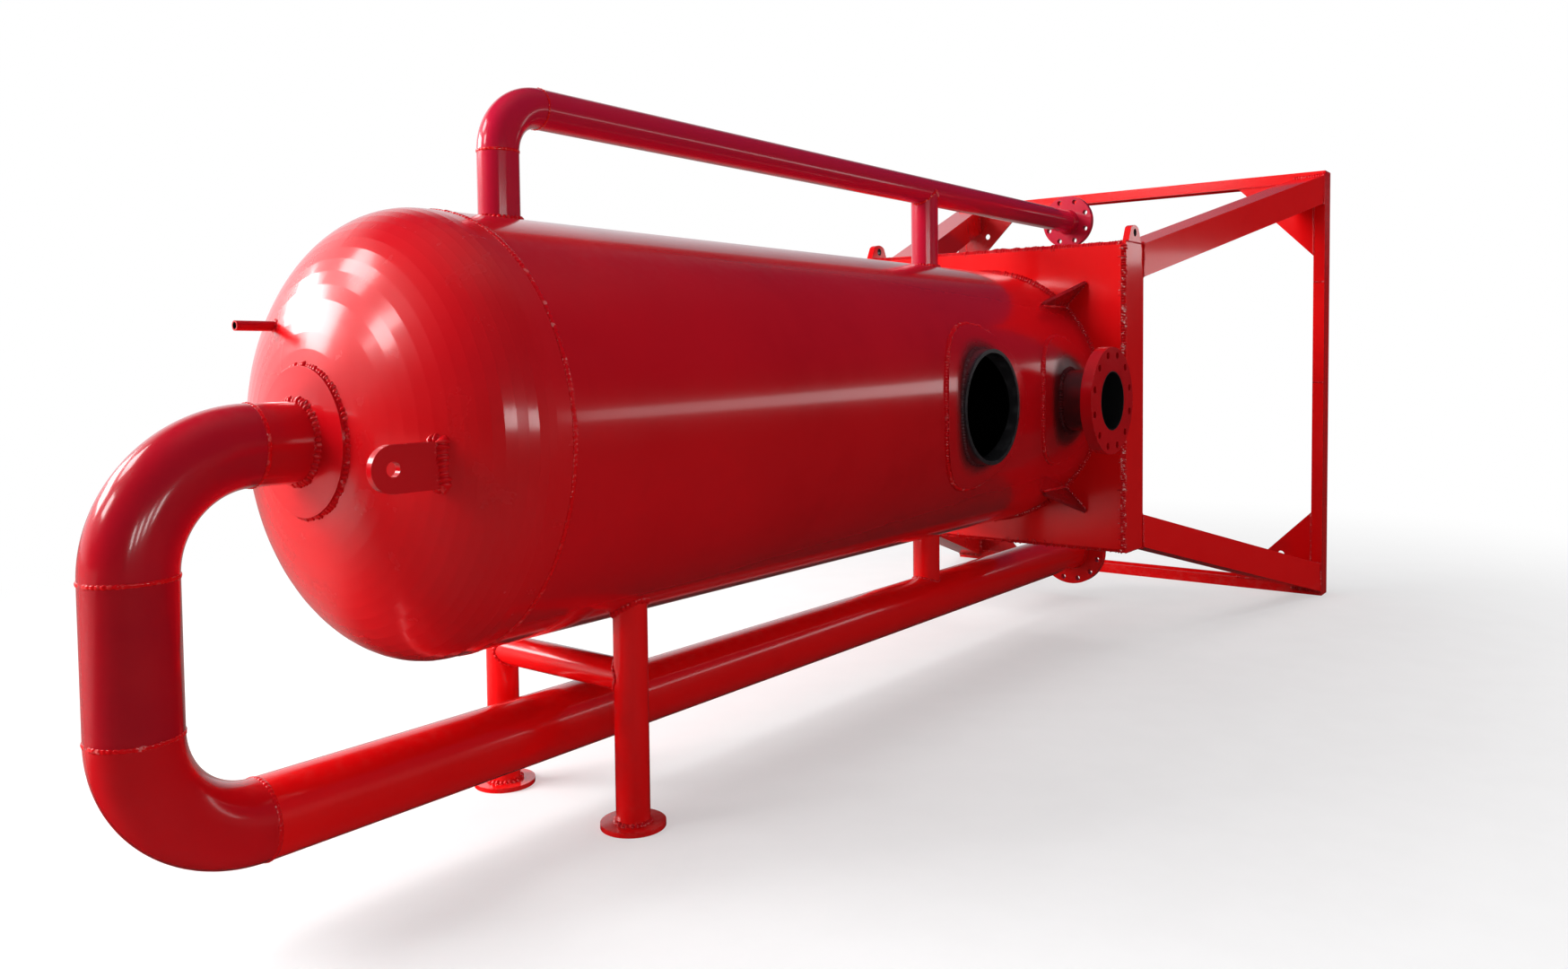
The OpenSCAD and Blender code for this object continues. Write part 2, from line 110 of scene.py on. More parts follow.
# Colours of the floor and the room, also as the paint mirrors them
FLOOR_PALE = (0.88, 0.88, 0.88, 1.0)
FLOOR_BOUNCE = (0.48, 0.44, 0.44, 1.0)
FLOOR_MIRRORED = (0.34, 0.26, 0.25, 1.0)
FLOOR_DARK = (0.020, 0.012, 0.012, 1.0)
ROOF_MIRRORED = (0.044, 0.017, 0.052, 1.0)
ROOM_MIRRORED = (0.014, 0.010, 0.012, 1.0)
SIDE_MIRRORED = (0.78, 0.77, 0.80, 1.0)
ROOM_FILL = (0.25, 0.25, 0.26, 1.0)
WHITE = (1.0, 1.0, 1.0, 1.0)

# Enamel: clear coat, and depths of orange peel and plate waves and radius of painted edges in metres
COAT = 0.8
# Coat where the painted shadow, the painted shade or the manway's darker ring lies
COAT_DARKENED = 0.1
COAT_ROUGHNESS = 0.10
ENAMEL_IOR = 1.47
ENAMEL_SPECULAR = 0.36
PEEL = 0.00003
WAVE = 0.0008
EDGE_R = 0.0016
WELD_PEEL = 0.00012
WELD_EDGE_R = 0.0008
NIPPLE_EDGE_R = 0.0004
RIM_PEEL = 0.00008
RIM_WAVE = 0.0003
RIM_EDGE_R = 0.002
WEAR_REACH = 0.0035
RIM_WEAR_REACH = 0.006
SKIN = 0.001

# Darkened places: where they begin and end, from an opening's axis or past the wall of a neck. Round the
# mud outlet this is painted shadow; round the manway it is a darker ring
OUTLET_PAINTED_SHADOW = (0.140, 0.190)
MANWAY_DARK_RING = (0.004, 0.050)
RIM_BLACK_DEPTH = (0.003, 0.016)

# Shares of painted light, a brighter red that stands in for more light, and the parts that have it: the
# deck, the base and what lies low
PAINTED_LIGHT = 0.95
PAINTED_LIGHT_DULL = 0.8
PAINTED_LIGHT_WELD = 0.35
PAINTED_LIGHT_HEAD = 0.16
PAINTED_LIGHT_PARTS = ("deck_", "leg_", "base_", "prop_", "foot_", "gas_stay")

# Weld beads: ripple length, mesh step and sides, and how ripples and edges vary
RIPPLE = 0.0105
RING_STEP = 0.0018
BEAD_SIDES = 10
BOX_MARGIN = 0.0003
SEED = 7
RIPPLE_SPREAD = 0.22
RIPPLE_LIMITS = (0.45, 1.55)
RIPPLE_POWER = 0.7
WAIST, SWELL, WAVER, WAVER_STEP = 0.74, 0.30, 0.10, 0.03
VALLEY, CREST = 0.40, 0.70
DRIFT, DRIFT_STEP = 0.14, 0.05
SINK = 0.5
SWEEP = 0.4

# Half widths and heights of the beads
SEAM_BEAD = (0.0070, 0.0022)
BUTT = (0.0050, 0.0021)
SMALL_BUTT = (0.0042, 0.0019)
FILLET = (0.0095, 0.0075)
BIG_FILLET = (0.0125, 0.0105)
SMALL_FILLET = (0.0060, 0.0050)
LUG_FILLET = (0.0165, 0.0120)
EDGE_FILLET = (0.0170, 0.0130)

# Places of beads that no box of the frame gives
PATH_STEP = 0.004
RIB_TIP = 0.012
GUSSET_REACH = 0.335
MITRE_INSET = 0.004
SPLICE_INSET = 0.002
SPLICE_HEIGHTS = (1.462, 0.997)

# Places that the lamps point at, and how far off the mirrored windows stand
MIDDLE_AIM = (0.0, 0.0, 1.0)
HEAD_AIM = (-2.0, 0.0, 1.25)
HEAD_LOW_AIM = (-2.0, 0.1, 0.7)
SIDE_AIM = (-1.0, -0.5, 1.03)
POST_AIM = (1.0, -0.6, 1.4)
WINDOW_AWAY = 8.0
BAR_AZIMUTHS = (-98, -108, -118, -128)
BAR_ELEVATION = 7.0

# Floor and room
FLOOR_HALF = 40.0
FLOOR_DROP = 0.0005
FLOOR_FADE = (1.5, 4.5)
FLOOR_FADE_SQUASH = (0.75, 1.0, 1.0)
FLOOR_SHADE = (0.6, 1.3)
OPEN_SIDE = (0.17, 0.985, 0.0)
VIEW_END = 200.0


# Shader helpers

def add_node(tree, kind, inputs=None, **settings):
    """Adds a node, sets its options and sets or links its inputs."""
    made = tree.nodes.new(kind)
    for key, value in settings.items():
        setattr(made, key, value)
    for key, value in (inputs or {}).items():
        if isinstance(value, bpy.types.NodeSocket):
            tree.links.new(value, made.inputs[key])
        else:
            made.inputs[key].default_value = value
    return made


def calc(tree, operation, first, second=0.0):
    """One sum, product, comparison or function of two numbers."""
    return add_node(tree, "ShaderNodeMath", {0: first, 1: second}, operation=operation).outputs[0]


def vector(tree, operation, first, second=(0.0, 0.0, 0.0)):
    """One operation on vectors: a vector, or a number for a length or a dot product."""
    made = add_node(tree, "ShaderNodeVectorMath", {0: first, 1: second}, operation=operation)
    return made.outputs["Value" if operation in ("LENGTH", "DOT_PRODUCT") else "Vector"]


def part_of(tree, whole, axis):
    """X, Y or Z of a vector."""
    return add_node(tree, "ShaderNodeSeparateXYZ", {0: whole}).outputs[axis]


def raised(tree, value, share, amount):
    """A value raised by an amount where a share is 1."""
    return calc(tree, "ADD", value, calc(tree, "MULTIPLY", share, amount))


def ramp(tree, value, low, high, start=0.0, end=1.0):
    """Smooth step of a value from one level to another."""
    inputs = {"Value": value, "From Min": low, "From Max": high, "To Min": start, "To Max": end}
    made = add_node(tree, "ShaderNodeMapRange", inputs, interpolation_type="SMOOTHSTEP")
    return made.outputs["Result"]


def mix(tree, share, first, second):
    """Mix of two colours."""
    made = add_node(tree, "ShaderNodeMix", {0: share, 6: first, 7: second}, data_type="RGBA")
    return made.outputs[2]


def cloud(tree, at, scale, detail=3.0, stretch=None):
    """Noise with a number of features to the metre."""
    if stretch:
        at = vector(tree, "MULTIPLY", at, stretch)
    inputs = {"Vector": at, "Scale": scale, "Detail": detail, "Roughness": 0.55}
    return add_node(tree, "ShaderNodeTexNoise", inputs).outputs["Fac"]


def distance_from(tree, at, point, axis):
    """Distance of a surface point from a line through a point along X, Y or Z."""
    across = [1.0, 1.0, 1.0]
    across[axis] = 0.0
    off = vector(tree, "SUBTRACT", at, tuple(point))
    return vector(tree, "LENGTH", vector(tree, "MULTIPLY", off, across))


def new_material(name):
    """A material with an empty tree, its shader and its position in metres."""
    made = bpy.data.materials.new(name)
    made.use_nodes = True
    tree = made.node_tree
    tree.nodes.clear()
    out = add_node(tree, "ShaderNodeOutputMaterial")
    shader = add_node(tree, "ShaderNodeBsdfPrincipled")
    tree.links.new(shader.outputs[0], out.inputs[0])
    at = add_node(tree, "ShaderNodeTexCoord").outputs["Object"]
    return made, tree, shader, at


def face_normal(tree):
    """Normal of the surface."""
    return add_node(tree, "ShaderNodeNewGeometry").outputs["Normal"]


def rounded_normal(tree, radius):
    """Normal of the surface with its edges rounded to a radius."""
    return add_node(tree, "ShaderNodeBevel", {"Radius": radius}, samples=4).outputs[0]


def bumped_normal(tree, height, depth, normal):
    """Normal of a surface with bumps of a depth in metres."""
    inputs = {"Height": height, "Distance": depth, "Strength": 1.0, "Normal": normal}
    return add_node(tree, "ShaderNodeBump", inputs).outputs[0]


def edge_share(tree, at, reach):
    """Share of wear near sharp edges, broken up by noise."""
    same = vector(tree, "DOT_PRODUCT", rounded_normal(tree, reach), face_normal(tree))
    bent = ramp(tree, same, 0.985, 0.80)
    return calc(tree, "MULTIPLY", bent, ramp(tree, cloud(tree, at, 55.0, 4.0), 0.47, 0.66))


def paint_normal(tree, at, peel, wave, edge_radius):
    """Normal of sprayed enamel: rounded edges, long waves of the plate and fine orange peel."""
    rounded = rounded_normal(tree, edge_radius)
    waved = bumped_normal(tree, cloud(tree, at, 4.5, 1.0), wave, rounded)
    return bumped_normal(tree, cloud(tree, at, 210.0, 2.0), peel, waved)


# Measures of the frame's nodes

def middle(node):
    """Middle of a node's box."""
    low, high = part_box(node)
    return (low + high) / 2


def radius_of(node, axis):
    """Outer radius of a round node whose axis is X, Y or Z."""
    low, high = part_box(node)
    return min(high[i] - low[i] for i in range(3) if i != axis) / 2


# Masks of dark insides, of places darkened by painted shadow, painted shade or a darker ring, and of
# painted glints, each a share from 0 to 1 at a surface point

def inside_tube(point, axis, radius):
    """Inside of a tube along one axis."""
    def mask(tree, at):
        return calc(tree, "LESS_THAN", distance_from(tree, at, point, axis), radius)
    return mask


def bore_of(node, axis, wall):
    """Inside of a round node, up to the middle of its wall."""
    return inside_tube(middle(node), axis, radius_of(node, axis) - wall / 2)


def inside_head(tree, at):
    """Inside of the dished head."""
    across = 1.0 / (VESSEL_R - VESSEL_WALL / 2)
    squash = (1.0 / (HEAD_DEPTH - VESSEL_WALL / 2), across, across)
    off = vector(tree, "SUBTRACT", at, (RIM_X, 0.0, AXIS_Z))
    size = vector(tree, "LENGTH", vector(tree, "MULTIPLY", off, squash))
    return calc(tree, "LESS_THAN", size, 1.0)


def vessel_side_of_plate(tree, at):
    """Disc of the deck plate that closes the vessel, on its front face only."""
    away = distance_from(tree, at, (0.0, 0.0, AXIS_Z), X)
    disc = calc(tree, "LESS_THAN", away, VESSEL_R - VESSEL_WALL / 2)
    return calc(tree, "MULTIPLY", disc, calc(tree, "LESS_THAN", part_of(tree, at, X), DECK_X + SKIN))


def few_chips(tree, at):
    """Pale specks of painted glints at a few places on a weld."""
    return ramp(tree, cloud(tree, at, 3.0, 2.0), 0.40, 0.70, 0.0, 0.30)


def near_chips(tree, at):
    """Painted glints along the near upright edge of the deck plate, few along its other edges."""
    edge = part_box("deck_plate")[0].y
    return ramp(tree, part_of(tree, at, Y), edge + 0.03, edge + 0.01, 0.06, 0.85)


def manway_burn(tree, at):
    """Darker ring on the pad round the manway."""
    full, end = MANWAY_DARK_RING
    neck_r = radius_of("manway_neck", Y)
    away = distance_from(tree, at, middle("manway_neck"), Y)
    return ramp(tree, away, neck_r + end, neck_r + full, 0.0, 0.97)


def outlet_burn(tree, at):
    """Painted shadow round the root of the mud outlet."""
    full, end = OUTLET_PAINTED_SHADOW
    away = distance_from(tree, at, middle("outlet_flange"), Y)
    return ramp(tree, away, end, full, 0.0, 0.95)


def rib_burn(tree, at):
    """Painted shade on the ribs of the deck, in dark patches."""
    return ramp(tree, cloud(tree, at, 9.0, 3.0), 0.30, 0.62, 0.15, 0.65)


def far_painted_shade(tree, at):
    """Painted shade on the far side of the base frame."""
    return ramp(tree, part_of(tree, at, Y), 0.2, 0.6, 0.0, 0.55)


def outside_of_neck(tree, at):
    """Outer wall of the manway neck, behind its black rim."""
    begin, end = RIM_BLACK_DEPTH
    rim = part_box("manway_neck")[0].y
    away = distance_from(tree, at, middle("manway_neck"), Y)
    wall = calc(tree, "GREATER_THAN", away, radius_of("manway_neck", Y) - SKIN)
    behind = ramp(tree, part_of(tree, at, Y), rim + begin, rim + end, 0.0, 0.9)
    return calc(tree, "MULTIPLY", wall, behind)


# Finishes

def red_coat(tree, at, mottle, fresh, tone):
    """Colour of the red coat: mottled, with runs, a brighter red of painted light where a share of it is
    given, and of another tone where asked for.
    """
    broad = cloud(tree, at, 1.3, 2.0)
    runs = cloud(tree, at, 1.0, 3.0, stretch=(26.0, 26.0, 2.6))
    colour = mix(tree, ramp(tree, broad, 0.30, 0.72), RED_DEEP, RED_BRIGHT)
    colour = mix(tree, ramp(tree, mottle, 0.32, 0.70, 0.15, 0.75), colour, RED_MID)
    colour = mix(tree, ramp(tree, runs, 0.58, 0.80, 0.0, 0.22), colour, RED_DEEP)
    # Brighter red of painted light, standing in for more light on the part
    colour = mix(tree, ramp(tree, mottle, 0.2, 0.6, 0.9 * fresh, fresh), colour, RED_PAINTED_LIGHT)
    if tone:
        colour = mix(tree, ramp(tree, mottle, 0.2, 0.7, 0.90, 0.70), colour, tone)
    return colour


def settled_dust(tree, at):
    """Share of dust near the floor and on faces that look up."""
    low = ramp(tree, part_of(tree, at, Z), 0.10, 0.0, 0.0, 0.05)
    lying = ramp(tree, part_of(tree, face_normal(tree), Z), 0.60, 1.0, 0.0, 0.03)
    patches = ramp(tree, cloud(tree, at, 38.0, 5.0), 0.40, 0.68)
    return calc(tree, "MULTIPLY", calc(tree, "ADD", low, lying), patches)


def enamel(name, inside=None, burn=None, chips=None, tone=None, fresh=0.0, gloss=1.0,
           peel=PEEL, wave=WAVE, edge_radius=EDGE_R):
    """Glossy red enamel with a dark inside, a darkened place of painted shade and shadow or a darker ring,
    pale specks of painted glints, and a brighter red of painted light, each where it is asked for.
    """
    made, tree, shader, at = new_material(name)
    mottle = cloud(tree, at, 11.0, 4.0)
    dust = settled_dust(tree, at)
    worn = edge_share(tree, at, WEAR_REACH)
    nibs = ramp(tree, cloud(tree, at, 330.0, 1.0), 0.735, 0.78, 0.0, 0.5)
    colour = mix(tree, dust, red_coat(tree, at, mottle, fresh, tone), DUST)
    colour = mix(tree, calc(tree, "MULTIPLY", worn, 0.22), colour, PRIMER)
    colour = mix(tree, nibs, colour, RED_DEEP)
    rough = ramp(tree, mottle, 0.25, 0.75, 0.185 * gloss, 0.225 * gloss)
    rough = raised(tree, rough, dust, 0.6)
    rough = raised(tree, rough, worn, 0.25)
    # Pale specks of painted glints on the welds
    if chips:
        glint_specks = ramp(tree, cloud(tree, at, 70.0, 2.0), 0.56, 0.66, 0.0, chips(tree, at))
        colour = mix(tree, glint_specks, colour, PAINTED_GLINT)
    # Darkened place from the mask given: painted shadow round the outlet, painted shade on the ribs and
    # the far frame, a darker ring round the manway
    if burn:
        share = calc(tree, "MULTIPLY", burn(tree, at), ramp(tree, mottle, 0.25, 0.60, 0.70, 1.0))
        colour = mix(tree, share, colour, DARKENED_RED)
        rough = raised(tree, rough, share, 0.15)
        tree.links.new(ramp(tree, share, 0.0, 1.0, COAT, COAT_DARKENED), shader.inputs["Coat Weight"])
    if inside:
        share = inside(tree, at)
        colour = mix(tree, share, colour, INSIDE_DARK)
        rough = raised(tree, rough, share, 0.15)
    tree.links.new(colour, shader.inputs["Base Color"])
    tree.links.new(calc(tree, "MINIMUM", rough, 0.9), shader.inputs["Roughness"])
    tree.links.new(paint_normal(tree, at, peel, wave, edge_radius), shader.inputs["Normal"])
    shader.inputs["IOR"].default_value = ENAMEL_IOR
    shader.inputs["Specular IOR Level"].default_value = ENAMEL_SPECULAR
    shader.inputs["Coat Weight"].default_value = COAT
    shader.inputs["Coat Roughness"].default_value = COAT_ROUGHNESS * gloss
    return made


def weld_enamel(name, **finish):
    """Enamel over a weld bead, with a coarser grain and no plate waves."""
    return enamel(name, peel=WELD_PEEL, wave=0.0, edge_radius=WELD_EDGE_R, **finish)


def black_enamel(name, dark_behind):
    """Satin black of the manway rim, rubbed grey along its edges, over dark red behind the rim."""
    made, tree, shader, at = new_material(name)
    mottle = cloud(tree, at, 24.0, 4.0)
    worn = edge_share(tree, at, RIM_WEAR_REACH)
    rub = calc(tree, "MAXIMUM", ramp(tree, mottle, 0.52, 0.75, 0.0, 0.5), worn)
    colour = mix(tree, dark_behind(tree, at), mix(tree, rub, RIM_BLACK, RIM_GREY), NECK_DARK_RED)
    tree.links.new(colour, shader.inputs["Base Color"])
    tree.links.new(ramp(tree, mottle, 0.25, 0.75, 0.26, 0.44), shader.inputs["Roughness"])
    tree.links.new(paint_normal(tree, at, RIM_PEEL, RIM_WAVE, RIM_EDGE_R), shader.inputs["Normal"])
    return made


def dress_nodes():
    """Gives every solid of the frame its finish."""
    vessel_bore = inside_tube((0.0, 0.0, AXIS_Z), X, VESSEL_R - VESSEL_WALL / 2)
    gas_bore = bore_of("gas_line", X, GAS_WALL)
    inlet_bore = bore_of("inlet_line", X, INLET_WALL)
    outlet_bore = bore_of("outlet_neck", Y, OUTLET_WALL)
    nipple_bore = inside_tube(middle("head_nipple"), X, NIPPLE_BORE_R)
    lug_place = (middle("deck_lugs").x, 0.0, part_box("deck_lugs")[0].z + LUG_EYE_UP)
    # Dark bore of the lug eye: painted shade that makes the hole read dark
    lug_eye_painted_shade = inside_tube(lug_place, Y, LUG_EYE_R)
    plain = enamel("red_enamel")
    # Painted light: a brighter red standing in for more light on the deck, the base and what lies low
    fresh = enamel("red_fresh", fresh=PAINTED_LIGHT)
    cool = enamel("red_cool", tone=RED_COOL)
    special = {
        "shell": enamel("red_shell", inside=vessel_bore),
        # A little painted light on the head, a brighter red standing in for more light
        "head": enamel("red_head", inside=inside_head, gloss=1.25, fresh=PAINTED_LIGHT_HEAD),
        "deck_plate": enamel("red_deck_plate", inside=vessel_side_of_plate, fresh=PAINTED_LIGHT),
        "deck_lugs": enamel("red_deck_lugs", inside=lug_eye_painted_shade, fresh=PAINTED_LIGHT),
        # Ribs with painted shade in dark patches
        "deck_ribs": enamel("red_ribs", burn=rib_burn),
        # Painted shade on the far post and the far gussets
        "base_channel_far": enamel("red_far_post", burn=far_painted_shade),
        "base_gussets": enamel("red_gussets", burn=far_painted_shade, fresh=PAINTED_LIGHT_DULL),
        "manway_pad": enamel("red_manway_pad", burn=manway_burn),
        "manway_neck": black_enamel("black_manway", outside_of_neck),
        # Painted shadow round the root of the mud outlet, on its pad and neck
        "outlet_pad": enamel("red_outlet_pad", burn=outlet_burn),
        "outlet_neck": enamel("red_outlet", inside=outlet_bore, burn=outlet_burn),
        "outlet_flange": enamel("red_outlet_flange", inside=outlet_bore),
        "gas_elbow_upper": enamel("red_deep", tone=RED_WINE),
        "gas_drop_pipe": enamel("red_drop_pipe", tone=RED_DARK),
        "gas_line": enamel("red_gas_line", inside=gas_bore, fresh=PAINTED_LIGHT),
        "gas_flange": enamel("red_gas_flange", inside=gas_bore, fresh=PAINTED_LIGHT_DULL),
        "inlet_riser": cool,
        "inlet_elbow": cool,
        "inlet_stay": cool,
        "inlet_line": enamel("red_inlet_line", inside=inlet_bore, tone=RED_COOL),
        "inlet_flange": enamel("red_inlet_flange", inside=inlet_bore, tone=RED_COOL),
        "head_nipple": enamel("red_nipple", inside=nipple_bore, edge_radius=NIPPLE_EDGE_R),
    }
    for name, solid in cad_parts.items():
        solid.data.materials.clear()
        usual = fresh if name.startswith(PAINTED_LIGHT_PARTS) else plain
        solid.data.materials.append(special.get(name, usual))


# Weld paths: points, outward normals and whether the path closes

TURN = np.linspace(0.0, 2.0 * math.pi, 720, endpoint=False)
FLAT = np.zeros_like(TURN)


def unit(vectors):
    """Vectors of length one."""
    return vectors / np.linalg.norm(vectors, axis=-1, keepdims=True)


def ring(centre, axis, radius, lean=0.0):
    """Circle round a line along one axis, its normals leaning along that line."""
    along, side, other = np.eye(3)[[axis, (axis + 1) % 3, (axis + 2) % 3]]
    out = np.outer(np.cos(TURN), side) + np.outer(np.sin(TURN), other)
    return np.array(centre) + radius * out, unit(out + lean * along), True


def upright_saddle(x, y, radius, tube_r, tube_z, side):
    """Where an upright pipe meets a tube along X, on its upper or lower side."""
    out = np.stack([np.cos(TURN), np.sin(TURN), FLAT], axis=1)
    points = np.array([x, y, 0.0]) + radius * out
    rise = side * np.sqrt(np.maximum(tube_r ** 2 - points[:, 1] ** 2, 0.0))
    points[:, 2] = tube_z + rise
    tube_out = np.stack([FLAT, points[:, 1], rise], axis=1) / tube_r
    return points, unit(out + tube_out), True


def side_saddle(x, radius, tube_r):
    """Where a round opening meets the near side of the vessel or of a pad on it."""
    out = np.stack([np.cos(TURN), FLAT, np.sin(TURN)], axis=1)
    points = np.array([x, 0.0, AXIS_Z]) + radius * out
    height = points[:, 2] - AXIS_Z
    points[:, 1] = -np.sqrt(tube_r ** 2 - height ** 2)
    tube_out = np.stack([FLAT, points[:, 1], height], axis=1) / tube_r
    return points, unit(out + tube_out), True


def tie_saddle(tie, tie_r, leg, leg_r):
    """Where the pipe between the transport legs meets one of them."""
    inward = -math.copysign(1.0, leg.y)
    out = np.stack([np.cos(TURN), FLAT, np.sin(TURN)], axis=1)
    points = np.array([tie.x, 0.0, tie.z]) + tie_r * out
    points[:, 1] = leg.y + inward * np.sqrt(leg_r ** 2 - (tie_r * np.cos(TURN)) ** 2)
    return points, unit(out + np.array([0.0, inward, 0.0])), True


def on_head(across, up, extra=0.0):
    """Points and normals on the dished head, or on the outside of a pad on it."""
    depth, radius = HEAD_DEPTH + extra, VESSEL_R + extra
    bulge = np.sqrt(np.maximum(1.0 - (across ** 2 + (up - AXIS_Z) ** 2) / radius ** 2, 0.0))
    points = np.stack([RIM_X - depth * bulge, across, up], axis=1)
    slope = np.stack([-bulge / depth, across / radius ** 2, (up - AXIS_Z) / radius ** 2], axis=1)
    return points, unit(slope)


def head_ring(y, z, radius, extra=0.0):
    """Where a round piece along X meets the head."""
    points, slope = on_head(y + radius * np.cos(TURN), z + radius * np.sin(TURN), extra)
    out = np.stack([FLAT, np.cos(TURN), np.sin(TURN)], axis=1)
    return points, unit(out + slope), True


def dense(corners, closed):
    """Points along straight lines between corners."""
    corners = np.array(corners, float)
    ends = np.vstack([corners[1:], corners[:1]]) if closed else corners[1:]
    parts = []
    for start, end in zip(corners, ends):
        count = max(int(np.linalg.norm(end - start) / PATH_STEP), 2)
        parts.append(start + np.outer(np.linspace(0.0, 1.0, count, endpoint=False), end - start))
    if not closed:
        parts.append(corners[-1:])
    return np.vstack(parts)


def run(corners, normal):
    """Straight runs between corners, with one normal."""
    points = dense(corners, False)
    return points, np.tile(unit(np.array(normal, float)), (len(points), 1)), False


def loop_in_plane(corners, along):
    """Loop of straight runs on a flat face, its normals between the face's and the way out of the loop."""
    points = dense(corners, True)
    along = np.array(along, float)
    out = points - points.mean(axis=0)
    out -= np.outer(out @ along, along)
    return points, unit(unit(out) + along), True


def lug_on_head(low, high):
    """Foot of a plate that stands on the head."""
    corners = [(0, low.y, low.z), (0, high.y, low.z), (0, high.y, high.z), (0, low.y, high.z)]
    flat = dense(corners, True)
    points, slope = on_head(flat[:, 1], flat[:, 2])
    out = flat - flat.mean(axis=0)
    out[:, 2] *= (high.y - low.y) / (high.z - low.z)
    return points, unit(unit(out) + slope), True


def end_corners(node, x):
    """Corners of the outline of a node's flat end at a place along X."""
    verts = np.array([v.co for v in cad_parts[node].data.vertices])
    flat = np.unique(np.round(verts[np.abs(verts[:, 0] - x) < 1e-4][:, 1:], 5), axis=0)
    centre = flat.mean(axis=0)
    outer = flat[np.argsort(np.linalg.norm(flat - centre, axis=1))[-4:]]
    order = np.argsort(np.arctan2(outer[:, 1] - centre[1], outer[:, 0] - centre[0]))
    return [(x, y, z) for y, z in outer[order]]


# Weld beads as meshes

def resample(path):
    """Even steps along a path: distance, length, points, normals and directions."""
    points, normals, closed = path
    if closed:
        points, normals = np.vstack([points, points[:1]]), np.vstack([normals, normals[:1]])
    along = np.r_[0.0, np.cumsum(np.linalg.norm(np.diff(points, axis=0), axis=1))]
    total = along[-1]
    places = np.linspace(0.0, total, max(int(total / RING_STEP), 12), endpoint=not closed)
    even = np.stack([np.interp(places, along, points[:, i]) for i in range(3)], axis=1)
    lean = unit(np.stack([np.interp(places, along, normals[:, i]) for i in range(3)], axis=1))
    if closed:
        ahead = unit(np.roll(even, -1, axis=0) - np.roll(even, 1, axis=0))
    else:
        ahead = unit(np.gradient(even, axis=0))
    return places, total, even, lean, ahead


def wander(places, total, draw, step, closed):
    """Slow random drift along a path."""
    count = max(int(total / step), 4)
    knots = draw.uniform(-1.0, 1.0, count + 1)
    if closed:
        knots[-1] = knots[0]
    return np.interp(places, np.linspace(0.0, total, count + 1), knots)


def tube_faces(rings, closed):
    """Faces between rings of corners, with ends where the tube is open."""
    first = np.arange(rings if closed else rings - 1)[:, None] * BEAD_SIDES
    second = (first + BEAD_SIDES) % (rings * BEAD_SIDES)
    side = np.arange(BEAD_SIDES)
    turn = (side + 1) % BEAD_SIDES
    faces = np.stack([first + side, second + side, second + turn, first + turn], axis=-1)
    faces = faces.reshape(-1, 4).tolist()
    if not closed:
        faces.append(side.tolist())
        faces.append(((rings - 1) * BEAD_SIDES + side[::-1]).tolist())
    return faces


def bead(path, width, height, draw):
    """Rippled bead along a path, of a half width and a height: corners and faces of a closed mesh."""
    closed = path[2]
    places, total, points, lean, ahead = resample(path)
    across = unit(np.cross(ahead, lean))
    lean = np.cross(across, ahead)
    count = max(int(round(total / RIPPLE)), 1)
    phase = places / total * count
    number = np.minimum(phase.astype(int), count - 1)
    size = np.clip(1.0 + RIPPLE_SPREAD * draw.standard_normal(count), *RIPPLE_LIMITS)[number]
    hump = np.sin(math.pi * (phase - number)) ** RIPPLE_POWER * size
    half = width * (WAIST + SWELL * hump + WAVER * wander(places, total, draw, WAVER_STEP, closed))
    tall = height * (VALLEY + CREST * hump)
    drift = width * DRIFT * wander(places, total, draw, DRIFT_STEP, closed)
    angle = np.linspace(0.0, 2.0 * math.pi, BEAD_SIDES, endpoint=False)
    top = np.maximum(np.sin(angle), 0.0)
    below = np.minimum(np.sin(angle), 0.0)
    aside = half[:, None] * np.cos(angle) + drift[:, None]
    above = tall[:, None] * top + SINK * height * below
    behind = SWEEP * min(width, RIPPLE) * top ** 2
    corners = points[:, None, :] + across[:, None, :] * aside[..., None]
    corners += lean[:, None, :] * above[..., None]
    corners -= ahead[:, None, :] * behind[None, :, None]
    return corners.reshape(-1, 3), tube_faces(len(points), closed)


def add_piece(name, corners, faces, material):
    """A smooth mesh that rides on the separator, kept inside the box of the solids."""
    corners = np.clip(corners, np.array(CAD_LOW) + BOX_MARGIN, np.array(CAD_HIGH) - BOX_MARGIN)
    mesh = bpy.data.meshes.new(name)
    mesh.from_pydata(corners.tolist(), [], faces)
    mesh.polygons.foreach_set("use_smooth", [True] * len(mesh.polygons))
    mesh.materials.append(material)
    piece = bpy.data.objects.new(name, mesh)
    bpy.context.scene.collection.objects.link(piece)
    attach(piece, "root")


def add_welds(name, beads, material):
    """One piece of several beads, each a path with its half width and height."""
    draw = np.random.default_rng(SEED + len(name) + len(beads))
    all_corners, all_faces, start = [], [], 0
    for path, size in beads:
        corners, faces = bead(path, *size, draw)
        all_corners.append(corners)
        all_faces.extend([[start + i for i in face] for face in faces])
        start += len(corners)
    add_piece(name, np.vstack(all_corners), all_faces, material)


# Welds of the separator

